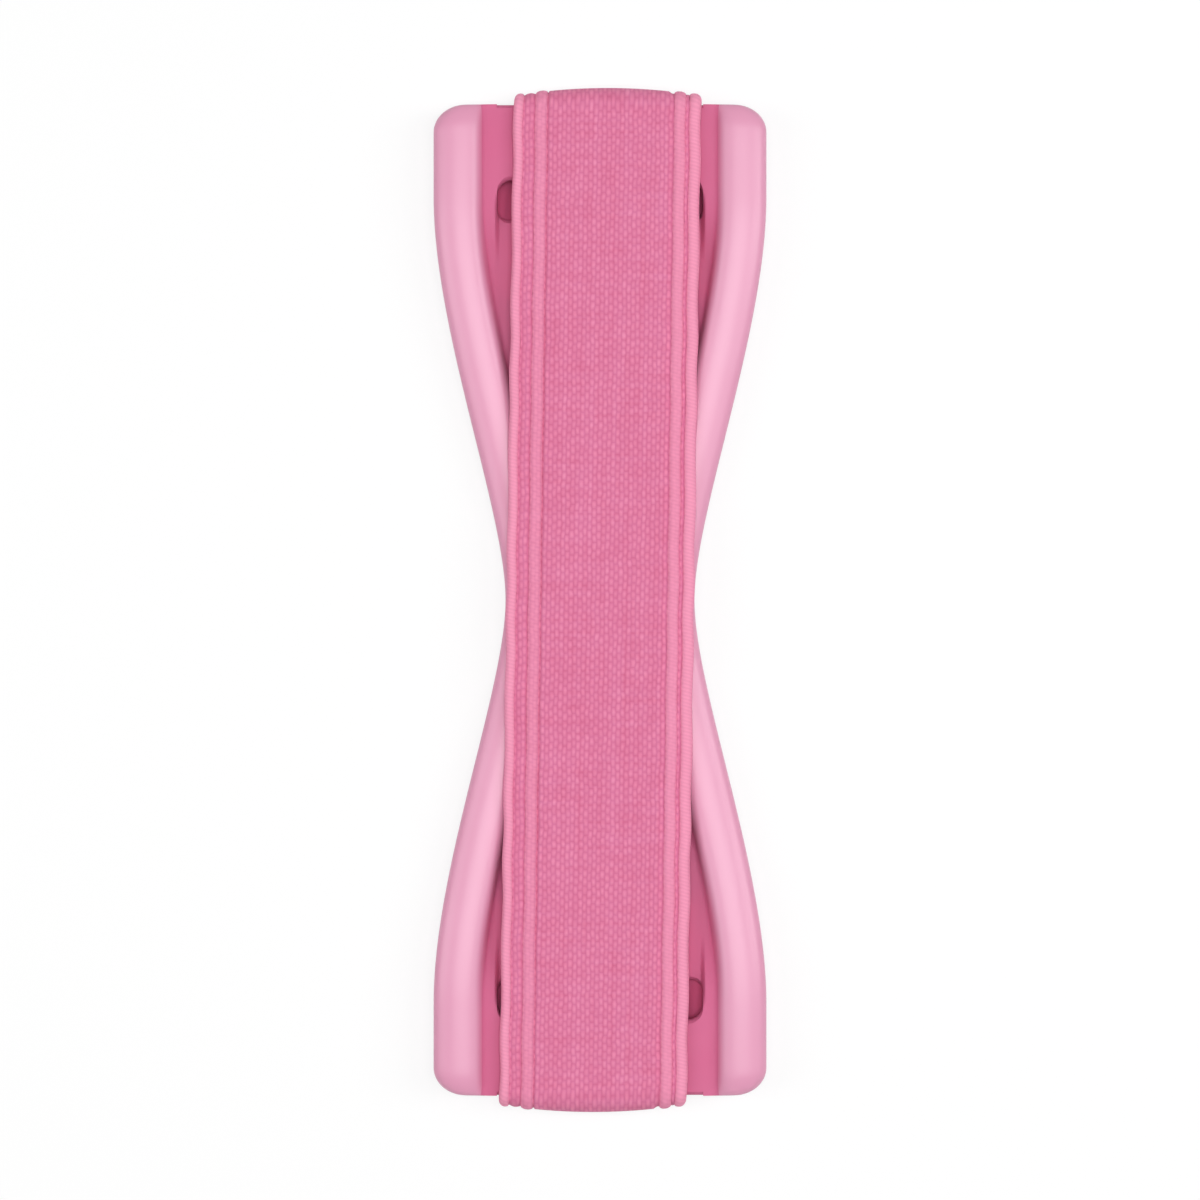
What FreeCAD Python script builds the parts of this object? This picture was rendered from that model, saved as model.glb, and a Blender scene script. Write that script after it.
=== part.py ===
"""Phone finger grip: a waisted moulded plate, an elastic strap round its end bars, and an adhesive pad.

Millimetres. X runs across the grip, Y along it, and Z away from the phone.
The origin is the middle of the adhesive face that goes on the phone.
"""

import FreeCAD, Part

import math
import os

from FreeCAD import Vector

# Plan of the moulded plate
plate_length = 84.6
end_width = 28.4
waist_width = 16.2
side_run = 8.0            # parallel stretch of each side, up to the end of the plate
waist_pull = 7.5          # how far the side stays narrow on leaving the waist
shoulder_pull = 11.4      # how far the side stays wide on leaving the shoulder
corner_radius = 2.1
corner_turn = 75.0        # degrees that each corner turns before it meets the flat end

# Rails along both long sides
rail_width = 3.8          # from the outer side to the top of the inner wall
edge_drop = 1.1           # how deep the outer edge rounds off
inner_drop = 0.25         # how far the rail falls from its crest to the top of the inner wall
inner_run = 1.4           # how wide that fall is
wall_run = 0.5            # how far the inner wall leans, seen in plan
rim_run = 0.3             # how far the edge between the two is rounded
rail_height = 1.1         # above the end bars, at the ends
waist_drop = 0.1          # how far the crest passes under the strap at the waist
nose_drop = 1.0           # how far the crest rounds down at each end

# Walls, strap slots and pad
web_thickness = 0.35      # closes the slots and the space under the bars from below
bar_thickness = 1.0
bar_length = 6.4
bar_edge_radius = 0.45
bar_setback = 0.05        # how far the bar stays inside the ends of the rails
slot_length = 3.3
lip_bulge = 0.34          # how far the edge of the floor rounds out into the slot
slot_width = 17.6
slot_corner = 1.0
ramp_length = 7.0         # how long the channel floor slopes beside the slot, down from the bar
pad_thickness = 0.6
pad_inset = 0.8

# Woven elastic strap
strap_width = 16.0
strap_thickness = 0.9
tail_length = 6.5         # what lies bonded under the main run, past each slot
cords_per_edge = 2        # raised cords along each selvedge
cord_width = 1.35
cord_slope = 0.28         # how wide each side of a cord slopes
groove_depth = 0.22
body_step = 0.1           # how far the middle of the weave lies below the cords
selvedge_bevel = 0.25

# Fit of the strap on the plate, and of the tails under the main run
seat_clearance = 0.05

# Stations along the plate that give the lofts their form
flank_stations = 14
nose_stations = 8

# Heights that follow from the sizes above
plate_bottom = pad_thickness
web_top = plate_bottom + web_thickness
low_run = web_top + seat_clearance + strap_thickness / 2
bar_bottom = web_top + strap_thickness + 2 * seat_clearance
bar_top = bar_bottom + bar_thickness
bar_middle = (bar_bottom + bar_top) / 2
main_run = bar_top + seat_clearance + strap_thickness / 2
tail_run = main_run - strap_thickness - seat_clearance
floor_top = tail_run - strap_thickness / 2 - seat_clearance
floor_middle = (web_top + floor_top) / 2
crest_at_end = bar_top + rail_height
crest_at_waist = bar_top - waist_drop

# Places along Y that follow from the sizes above
half_length = plate_length / 2
shoulder = half_length - side_run
corner_depth = corner_radius * math.sin(math.radians(corner_turn))
corner_start = half_length - corner_depth
bar_round = bar_thickness / 2
lip_round = (floor_top - web_top) / 2
bar_tip = half_length - bar_setback
bar_outer = bar_tip - bar_round
bar_inner = bar_tip - bar_length + bar_round
lip_edge = bar_tip - bar_length - slot_length
lip_centre = lip_edge - lip_bulge
tail_end = lip_centre - tail_length
bar_flare = bar_inner - bar_round - slot_corner
bar_reach = end_width / 2 - rail_width + wall_run


def crest_height(share):
    """Height of the rail's crest at a share of the way from waist to shoulder. It rises late."""
    return crest_at_waist + (crest_at_end - crest_at_waist) * share ** 4 * (5 - 4 * share)


def across(point):
    """The same point on the other side of the grip."""
    return Vector(-point.x, point.y, point.z)


def bezier(poles):
    """A curve through the first and the last of its poles, drawn towards the others."""
    curve = Part.BezierCurve()
    curve.setPoles(poles)
    return curve


def flank_points(half_waist, half_end, shoulder_y, waist_handle, shoulder_handle):
    """Poles of the curve that one side follows from the waist to the shoulder."""
    return [
        Vector(half_waist, 0, 0),
        Vector(half_waist, waist_handle, 0),
        Vector(half_end, shoulder_y - shoulder_handle, 0),
        Vector(half_end, shoulder_y, 0),
    ]


def flank_curve():
    """The side of the plate from the waist to the shoulder."""
    return bezier(flank_points(waist_width / 2, end_width / 2, shoulder, waist_pull, shoulder_pull))


def plate_section(y, half_width, crest, rail_half_width):
    """Closed cross-section of the plate at y, with a rail on each side of the floor.

    half_width is the outer edge there, and rail_half_width the edge that the rail's inner wall is set from.
    """
    inner_edge = rail_half_width - rail_width
    pole = crest + 0.09 * edge_drop + 0.3 * inner_drop
    over = Vector(inner_edge + inner_run, y, pole)
    corner = Vector(inner_edge, y, crest - inner_drop)
    foot = Vector(inner_edge - wall_run, y, floor_top)
    rim_start = corner + (over - corner).normalize() * rim_run
    rim_end = corner + (foot - corner).normalize() * rim_run
    side_top = Vector(half_width, y, crest - edge_drop)
    crown = [side_top, Vector(half_width, y, pole), over, rim_start]
    rim = [rim_start, corner, rim_end]
    toe = Vector(half_width, y, plate_bottom)
    edges = [
        Part.LineSegment(across(toe), toe),
        Part.LineSegment(toe, side_top),
        bezier(crown),
        bezier(rim),
        Part.LineSegment(rim_end, foot),
        Part.LineSegment(foot, across(foot)),
        Part.LineSegment(across(foot), across(rim_end)),
        bezier([across(pole_point) for pole_point in reversed(rim)]),
        bezier([across(pole_point) for pole_point in reversed(crown)]),
        Part.LineSegment(across(side_top), across(toe)),
    ]
    return Part.Wire([edge.toShape() for edge in edges])


def plate_middle():
    """The plate between its two shoulders: waist and flanks, with the rails rising towards the ends."""
    flank = flank_curve()
    sections = []
    for i in range(-flank_stations, flank_stations + 1):
        share = abs(i) / flank_stations
        point = flank.value(share)
        sections.append(plate_section(math.copysign(point.y, i), point.x, crest_height(share), point.x))
    return Part.makeLoft(sections, True, True)


def plate_sides():
    """The stretch of the plate at +Y with parallel sides, from the shoulder to where the corners begin."""
    half = end_width / 2
    sections = [plate_section(y, half, crest_at_end, half) for y in (shoulder, corner_start)]
    return Part.makeLoft(sections, True, True)


def plate_nose():
    """The end of the plate at +Y, where both corners and the crest of the rails round off."""
    sections = []
    for i in range(nose_stations):
        turn = math.radians(corner_turn * i / (nose_stations - 1))
        y = corner_start + corner_radius * math.sin(turn)
        half_width = end_width / 2 - corner_radius * (1 - math.cos(turn))
        crest = crest_at_end - nose_drop * (1 - math.cos(turn))
        sections.append(plate_section(y, half_width, crest, end_width / 2))
    return Part.makeLoft(sections, True, True)


def strap_way():
    """What is taken out above the web at +Y: the slot and the space under the bar, up to the round lip."""
    past_end = half_length + corner_radius
    above = crest_at_end + corner_radius
    half = slot_width / 2
    bulge_radius = (lip_round ** 2 + lip_bulge ** 2) / (2 * lip_bulge)
    reach = (lip_round + bulge_radius) / 2
    back = lip_edge - bulge_radius + math.sqrt(bulge_radius ** 2 - reach ** 2)
    high = floor_middle + reach

    def in_profile(y, z):
        return Vector(0, y, z)

    profile = [
        Part.LineSegment(in_profile(past_end, web_top), in_profile(lip_centre, web_top)),
        Part.Arc(
            in_profile(lip_centre, web_top),
            in_profile(lip_edge, floor_middle),
            in_profile(back, high),
        ),
        Part.LineSegment(in_profile(back, high), in_profile(back, above)),
        Part.LineSegment(in_profile(back, above), in_profile(past_end, above)),
        Part.LineSegment(in_profile(past_end, above), in_profile(past_end, web_top)),
    ]
    side = Part.Face(Part.Wire([edge.toShape() for edge in profile]))
    side.translate(Vector(-slot_width, 0, 0))
    lipped = side.extrude(Vector(2 * slot_width, 0, 0))

    behind = back - seat_clearance
    tangent = lip_edge + slot_corner
    turn = tangent - behind
    diagonal = turn * (1 - math.sqrt(0.5))

    def in_plan(x, y):
        return Vector(x, y, plate_bottom)

    inset = half - diagonal
    bend = behind + diagonal
    straight = half - turn
    plan = [
        Part.LineSegment(in_plan(half, past_end), in_plan(half, tangent)),
        Part.Arc(in_plan(half, tangent), in_plan(inset, bend), in_plan(straight, behind)),
        Part.LineSegment(in_plan(straight, behind), in_plan(-straight, behind)),
        Part.Arc(in_plan(-straight, behind), in_plan(-inset, bend), in_plan(-half, tangent)),
        Part.LineSegment(in_plan(-half, tangent), in_plan(-half, past_end)),
        Part.LineSegment(in_plan(-half, past_end), in_plan(half, past_end)),
    ]
    upright = Part.Face(Part.Wire([edge.toShape() for edge in plan]))
    return lipped.common(upright.extrude(Vector(0, 0, above + corner_radius)))


def end_bar():
    """The round-edged bar at +Y that the strap loops round. It widens where it meets the rails."""
    half = slot_width / 2
    inner_tip = bar_inner - bar_round
    diagonal = slot_corner * (1 - math.sqrt(0.5))
    inset = half - diagonal
    bend = inner_tip - diagonal
    straight = half - slot_corner

    def at(x, y):
        return Vector(x, y, bar_bottom)

    plan = [
        Part.LineSegment(at(bar_reach, bar_tip), at(bar_reach, bar_flare)),
        Part.LineSegment(at(bar_reach, bar_flare), at(half, bar_flare)),
        Part.Arc(at(half, bar_flare), at(inset, bend), at(straight, inner_tip)),
        Part.LineSegment(at(straight, inner_tip), at(-straight, inner_tip)),
        Part.Arc(at(-straight, inner_tip), at(-inset, bend), at(-half, bar_flare)),
        Part.LineSegment(at(-half, bar_flare), at(-bar_reach, bar_flare)),
        Part.LineSegment(at(-bar_reach, bar_flare), at(-bar_reach, bar_tip)),
        Part.LineSegment(at(-bar_reach, bar_tip), at(bar_reach, bar_tip)),
    ]
    bar = Part.Face(Part.Wire([edge.toShape() for edge in plan])).extrude(Vector(0, 0, bar_thickness))
    rounded = []
    for edge in bar.Edges:
        middle = edge.valueAt((edge.FirstParameter + edge.LastParameter) / 2)
        level = abs(middle.z - bar_middle) > bar_round / 2
        if level and abs(middle.x) < half and middle.y > bar_flare:
            rounded.append(edge)
    return bar.makeFillet(bar_edge_radius, rounded)


def channel_ramp():
    """The slope at +Y and +X that leads from the bar down to the channel floor, between slot and rail."""
    inner = slot_width / 2
    fall = (bar_top - floor_top) / ramp_length
    toe = bar_flare - (bar_top - floor_middle) / fall

    def at(y, z):
        return Vector(inner, y, z)

    corners = [
        at(bar_inner, floor_middle),
        at(bar_inner, bar_top),
        at(bar_flare, bar_top),
        at(toe, floor_middle),
        at(bar_inner, floor_middle),
    ]
    return Part.Face(Part.makePolygon(corners)).extrude(Vector(bar_reach - inner, 0, 0))


def other_side(shape):
    """The same shape at -X."""
    return shape.mirror(Vector(0, 0, 0), Vector(1, 0, 0))


def other_end(shape):
    """The same shape at -Y."""
    return shape.mirror(Vector(0, 0, 0), Vector(0, 1, 0))


def base_plate():
    """The moulded plate as one solid."""
    sides = plate_sides()
    nose = plate_nose()
    way = strap_way()
    ramp = channel_ramp()
    bar = end_bar().fuse([ramp, other_side(ramp)])
    plate = plate_middle().fuse([sides, other_end(sides), nose, other_end(nose)])
    plate = plate.cut([way, other_end(way)])
    return plate.fuse([bar, other_end(bar)])


def strap_path():
    """Middle line of the strap, from the end of one tail, round both bars, to the end of the other tail."""
    bar_bend = bar_round + seat_clearance + strap_thickness / 2
    lip_bend = lip_round + seat_clearance + strap_thickness / 2
    along = bar_inner - lip_centre
    up = bar_middle - floor_middle
    ramp = math.asin((bar_bend + lip_bend) / math.hypot(along, up)) - math.atan2(up, along)

    def lip_point(angle):
        out = lip_bend * math.sin(angle)
        return Vector(0, lip_centre + out, floor_middle + lip_bend * math.cos(angle))

    def inner_point(angle):
        return Vector(0, bar_inner - bar_bend * math.sin(angle), bar_middle - bar_bend * math.cos(angle))

    def line(a, b):
        return Part.LineSegment(a, b)

    tip = Vector(0, bar_outer + bar_bend, bar_middle)
    under = Vector(0, bar_outer, low_run)
    over = Vector(0, bar_outer, main_run)
    one_end = [
        line(Vector(0, tail_end, tail_run), lip_point(0)),
        Part.Arc(lip_point(0), lip_point(ramp / 2), lip_point(ramp)),
        line(lip_point(ramp), inner_point(ramp)),
        Part.Arc(inner_point(ramp), inner_point(ramp / 2), inner_point(0)),
        line(inner_point(0), under),
        Part.Arc(under, tip, over),
    ]
    edges = [piece.toShape() for piece in one_end]
    far_edges = [other_end(edge) for edge in reversed(edges)]
    main = line(over, Vector(0, -bar_outer, main_run)).toShape()
    return Part.Wire(Part.__sortEdges__(edges + [main] + far_edges))


def strap_section():
    """Cross-section of the strap at the end of its tail, with cords along both selvedges."""
    half = strap_width / 2
    inner_face = tail_run + strap_thickness / 2
    groove = strap_thickness - groove_depth
    side = [(half - selvedge_bevel, 0), (half, selvedge_bevel), (half, groove)]
    for cord in range(cords_per_edge):
        outer = half - cord * cord_width
        inner = outer - cord_width
        side.append((outer - cord_slope, strap_thickness))
        side.append((inner + cord_slope, strap_thickness))
        side.append((inner, groove))
    side.append((half - cords_per_edge * cord_width - body_step, strap_thickness - body_step))
    outline = side + [(-x, depth) for x, depth in reversed(side)] + side[:1]
    return Part.makePolygon([Vector(x, tail_end, inner_face - depth) for x, depth in outline])


def elastic_strap():
    """The woven strap as one solid, swept along its path."""
    sweep = Part.BRepOffsetAPI.MakePipeShell(strap_path())
    sweep.setBiNormalMode(Vector(1, 0, 0))
    sweep.add(strap_section())
    sweep.build()
    sweep.makeSolid()
    return sweep.shape()


def adhesive_pad():
    """The die-cut foam pad under the plate. It follows the plate's outline at an even distance inside it."""
    half_end = end_width / 2 - pad_inset
    half_waist = waist_width / 2 - pad_inset
    end = half_length - pad_inset
    corner = end - corner_radius
    flank = bezier(flank_points(half_waist, half_end, shoulder, waist_pull, shoulder_pull))
    corner_centre = Vector(half_end - corner_radius, corner, 0)
    reach = corner_radius * math.sqrt(0.5)
    quarter = [
        flank.toShape(),
        Part.LineSegment(Vector(half_end, shoulder, 0), Vector(half_end, corner, 0)).toShape(),
        Part.Arc(
            Vector(half_end, corner, 0),
            corner_centre + Vector(reach, reach, 0),
            Vector(half_end - corner_radius, end, 0),
        ).toShape(),
        Part.LineSegment(Vector(half_end - corner_radius, end, 0), Vector(0, end, 0)).toShape(),
    ]
    half = quarter + [other_side(edge) for edge in quarter]
    outline = Part.Wire(Part.__sortEdges__(half + [other_end(edge) for edge in half]))
    return Part.Face(outline).extrude(Vector(0, 0, pad_thickness))


def write_part(name, shape):
    """Writes one piece as a STEP file and prints its size."""
    solids = shape.Solids
    piece = solids[0] if len(solids) == 1 else shape
    piece.exportStep(os.path.join("parts", name + ".step"))
    box = piece.BoundBox
    print(name, "solids", len(solids), "valid", piece.isValid(), "volume", round(piece.Volume, 1),
          "size", round(box.XLength, 2), round(box.YLength, 2), round(box.ZLength, 2))


os.makedirs("parts", exist_ok=True)
write_part("base_plate", base_plate())
write_part("elastic_strap", elastic_strap())
write_part("adhesive_pad", adhesive_pad())
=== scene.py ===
"""Looks of a phone finger grip: a waisted moulded plate, a woven elastic strap and a foam adhesive pad.

All sizes in the classes are millimetres. Meshes are built in metres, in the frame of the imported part:
X across the grip, Y along it, Z away from the phone.
"""

import logging
import math
from collections.abc import Callable, Sequence
from dataclasses import dataclass, replace
from enum import Enum
from functools import partial
from typing import Any

import bmesh
import bpy
from bmesh.types import BMesh, BMVert
from bpy.types import Material, Mesh, Node, NodeSocket, NodeTree, Object
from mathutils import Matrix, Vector

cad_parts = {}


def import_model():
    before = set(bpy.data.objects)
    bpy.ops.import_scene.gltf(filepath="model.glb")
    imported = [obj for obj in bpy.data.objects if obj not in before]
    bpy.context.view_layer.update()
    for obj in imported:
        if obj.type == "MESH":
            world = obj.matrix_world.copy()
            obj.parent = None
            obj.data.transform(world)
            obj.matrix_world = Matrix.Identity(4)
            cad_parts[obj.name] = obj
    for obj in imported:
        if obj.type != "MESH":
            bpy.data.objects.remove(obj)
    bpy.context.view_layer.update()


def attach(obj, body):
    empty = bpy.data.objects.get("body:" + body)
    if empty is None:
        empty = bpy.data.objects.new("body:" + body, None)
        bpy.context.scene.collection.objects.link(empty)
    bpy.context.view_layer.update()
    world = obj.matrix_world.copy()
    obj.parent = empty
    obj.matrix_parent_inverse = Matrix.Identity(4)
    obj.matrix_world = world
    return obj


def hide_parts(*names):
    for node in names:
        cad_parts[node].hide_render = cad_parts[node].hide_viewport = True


MM = 0.001
QUARTER_TURN = math.pi / 2
WHITE = (1.0, 1.0, 1.0, 1.0)
LOG = logging.getLogger("finger_grip")

# What the meshes tell the materials: how polished the plastic is, which also sets its painted sheen and
# shade, with a mark of its own for the painted shade of the web under the slots, how much of the tape is cord
# yarn, and the tape's own map in metres
POLISH_AND_PAINTED_LIGHT = "polish"
PAINTED_SLOT_SHADE = -1.0
CORD = "cord"
CLOTH = "cloth"

Colour = tuple[float, float, float, float]
NodeMaker = Callable[..., Node]
Mark = Callable[[BMesh, list[tuple[int, int]]], None]


class End(Enum):
    """The two ends of the grip, by the sign of Y."""

    HEAD = 1
    FOOT = -1


def linear(hex_colour: str) -> Colour:
    """Turns an sRGB hex value into a linear colour with full alpha.

    Args:
        hex_colour: Six hex digits, with or without a leading hash.

    Returns:
        Red, green, blue and alpha, ready for a colour socket.
    """
    digits = hex_colour.lstrip("#")
    parts = [int(digits[i : i + 2], 16) / 255 for i in (0, 2, 4)]
    red, green, blue = (c / 12.92 if c <= 0.04045 else ((c + 0.055) / 1.055) ** 2.4 for c in parts)
    return red, green, blue, 1.0


def ease(value: float, low: float, high: float) -> float:
    """Smooth step from 0 at low to 1 at high.

    Args:
        value: Where to read the step.
        low: Where it starts.
        high: Where it is complete.

    Returns:
        A share from 0 to 1.
    """
    share = min(1.0, max(0.0, (value - low) / (high - low)))
    return share * share * (3 - 2 * share)


def spread(start: float, stop: float, count: int) -> list[float]:
    """Evenly spaced values from start up to, and without, stop.

    Args:
        start: First value.
        stop: Value after the last.
        count: How many values.

    Returns:
        The values in order.
    """
    return [start + (stop - start) * i / count for i in range(count)]


def bezier(poles: Sequence[Sequence[float]], share: float) -> tuple[float, float]:
    """Point on a plane Bezier curve of any degree.

    Args:
        poles: Two or more control points, first to last.
        share: Place on the curve, from 0 to 1.

    Returns:
        The point's two coordinates.
    """
    points = list(poles)
    while len(points) > 1:
        pairs = zip(points, points[1:])
        points = [(a[0] + (b[0] - a[0]) * share, a[1] + (b[1] - a[1]) * share) for a, b in pairs]
    return points[0]


def add_node(tree: NodeTree, kind: str, inputs: dict[str | int, Any] | None = None, **settings: Any) -> Node:
    """Adds one node, sets it and links what feeds it.

    A Mix node's A and B are inputs 2 and 3 for numbers, and 6 and 7 for colours.

    Args:
        tree: The material's or world's node tree.
        kind: Node type after its prefix, such as Bump.
        inputs: By input name or number: values, sockets to link, or nodes whose first live output is linked.
        settings: Attributes of the node by name.

    Returns:
        The new node.
    """
    node = tree.nodes.new(f"ShaderNode{kind}")
    for name, value in settings.items():
        setattr(node, name, value)
    for key, value in (inputs or {}).items():
        if isinstance(value, Node):
            value = next(socket for socket in value.outputs if socket.enabled)
        if isinstance(value, NodeSocket):
            tree.links.new(value, node.inputs[key])
        else:
            node.inputs[key].default_value = value
    return node


def new_material(name: str) -> tuple[Material, NodeMaker]:
    """Makes an empty node material.

    Args:
        name: Name of the material.

    Returns:
        The material, and add_node for its own tree.
    """
    material = bpy.data.materials.new(name)
    material.use_nodes = True
    material.node_tree.nodes.clear()
    return material, partial(add_node, material.node_tree)


def looked_at(node: NodeMaker) -> Node:
    """Adds the nodes that tell a look at a surface from the light that falls on it.

    Args:
        node: Adds a node to the tree in hand.

    Returns:
        A node that gives 1 to the camera's rays and those of gloss and glass, and 0 to light.
    """
    ray = node("LightPath").outputs
    seen = node("Math", {0: ray["Is Camera Ray"], 1: ray["Is Glossy Ray"]}, operation="MAXIMUM")
    return node("Math", {0: seen, 1: ray["Is Transmission Ray"]}, operation="MAXIMUM")


def new_piece(name: str, mesh: BMesh) -> Object:
    """Turns a finished bmesh into an object at the origin and frees the bmesh.

    Args:
        name: Name of the object and its mesh.
        mesh: The finished shape, in metres.

    Returns:
        The object, linked to the scene.
    """
    data = bpy.data.meshes.new(name)
    mesh.to_mesh(data)
    mesh.free()
    piece = bpy.data.objects.new(name, data)
    bpy.context.scene.collection.objects.link(piece)
    return piece


def soften(piece: Object, sharp_degrees: float) -> None:
    """Shades a piece smooth, apart from edges sharper than an angle.

    Args:
        piece: A mesh object.
        sharp_degrees: Edges that turn by more than this stay crisp.
    """
    data = piece.data
    data.polygons.foreach_set("use_smooth", [True] * len(data.polygons))
    data.set_sharp_from_angle(angle=math.radians(sharp_degrees))
    data.update()


def skin(rows: Sequence[Sequence[Vector]], mark: Mark | None = None) -> BMesh:
    """Wraps a grid round a row of closed sections, joins its seam and closes its two ends.

    Args:
        rows: Points of each section in metres, all of one count, the first point repeated as the last.
        mark: Called with the grid and each vertex's column and row, before the seam is joined.

    Returns:
        A closed mesh whose faces point outwards.
    """
    mesh = bmesh.new()
    columns = len(rows[0]) - 1
    bmesh.ops.create_grid(mesh, x_segments=columns, y_segments=len(rows) - 1, size=0.5)
    mesh.verts.index_update()
    places = []
    for vert in mesh.verts:
        column = round((vert.co.x + 0.5) * columns)
        row = round((vert.co.y + 0.5) * (len(rows) - 1))
        places.append((column, row))
        vert.co = rows[row][column]
    if mark:
        mark(mesh, places)
    bmesh.ops.remove_doubles(mesh, verts=mesh.verts, dist=1e-4 * MM)
    rims = [edge for edge in mesh.edges if edge.is_boundary]
    caps = bmesh.ops.holes_fill(mesh, edges=rims, sides=0)["faces"]
    bmesh.ops.triangulate(mesh, faces=caps)
    bmesh.ops.recalc_face_normals(mesh, faces=mesh.faces)
    return mesh


@dataclass(frozen=True)
class MouldedPlastic:
    """ABS from one mould: rails polished to a soft white gloss and given a paler tone, a painted sheen;
    channel matt and given a deeper tone, a painted shade.

    The web under the slots takes a deeper tone still: painted shade of the slots.
    The grain of a real mould is finer than a pixel, so it is drawn coarser.
    """

    name: str = "moulded_abs"
    rail_painted_sheen_tone: str = "#DB96B3"
    channel_painted_shade_tone: str = "#C96088"
    slot_painted_shade_tone: str = "#C94E7B"
    rail_roughness: float = 0.3
    channel_roughness: float = 0.7
    grain_mm: float = 0.22
    grain_depth_mm: float = 0.004
    grain_dulling: float = 0.08
    cloud_mm: float = 9.0
    cloud_share: float = 0.25
    tone_blend_range: tuple[float, float] = (0.08, 1.16)

    def material(self) -> Material:
        """Builds the material with the mould's fine grain, a slight unevenness of the colour, and painted
        sheen on the rails and painted shade in the channel.

        Returns:
            The finished material.
        """
        material, node = new_material(self.name)
        where = node("TexCoord").outputs["Object"]
        polish = node("Attribute", attribute_name=POLISH_AND_PAINTED_LIGHT).outputs["Fac"]
        fine = 1 / (self.grain_mm * MM)
        grain = node("TexNoise", {"Vector": where, "Scale": fine, "Detail": 2.0, "Roughness": 0.55})
        cloud = node("TexNoise", {"Vector": where, "Scale": 1 / (self.cloud_mm * MM), "Detail": 2.0})
        # The polish mark blends the rails' paler tone, a painted sheen, with the channel's deeper tone, a
        # painted shade; the cloud varies the blend at random
        uneven = node("Math", {0: cloud, 1: self.cloud_share, 2: polish}, operation="MULTIPLY_ADD")
        low, high = self.tone_blend_range
        tone_blend = node("MapRange", {"Value": uneven, "From Min": low, "From Max": high})
        tones = {6: linear(self.channel_painted_shade_tone), 7: linear(self.rail_painted_sheen_tone)}
        sheen_and_shade_tone = node("Mix", {"Factor": tone_blend, **tones}, data_type="RGBA")
        # The web under the slots takes a deeper tone: painted shade of the slots
        slot_shade = node("Math", {0: polish, 1: PAINTED_SLOT_SHADE}, operation="MULTIPLY", use_clamp=True)
        colour = node("Mix", {"Factor": slot_shade, 6: sheen_and_shade_tone, 7: linear(self.slot_painted_shade_tone)}, data_type="RGBA")
        finishes = {2: self.channel_roughness, 3: self.rail_roughness}
        dull = node("Mix", {"Factor": polish, **finishes}, data_type="FLOAT")
        gloss = node("Math", {0: grain, 1: self.grain_dulling, 2: dull}, operation="MULTIPLY_ADD")
        depth = self.grain_depth_mm * MM
        bump = node("Bump", {"Strength": 0.6, "Distance": depth, "Height": grain})
        surface = node(
            "BsdfPrincipled",
            {
                "Base Color": colour,
                "Roughness": gloss,
                "IOR": 1.53,
                "Specular IOR Level": 0.45,
                "Normal": bump,
            },
        )
        node("OutputMaterial", {"Surface": surface})
        return material


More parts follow.
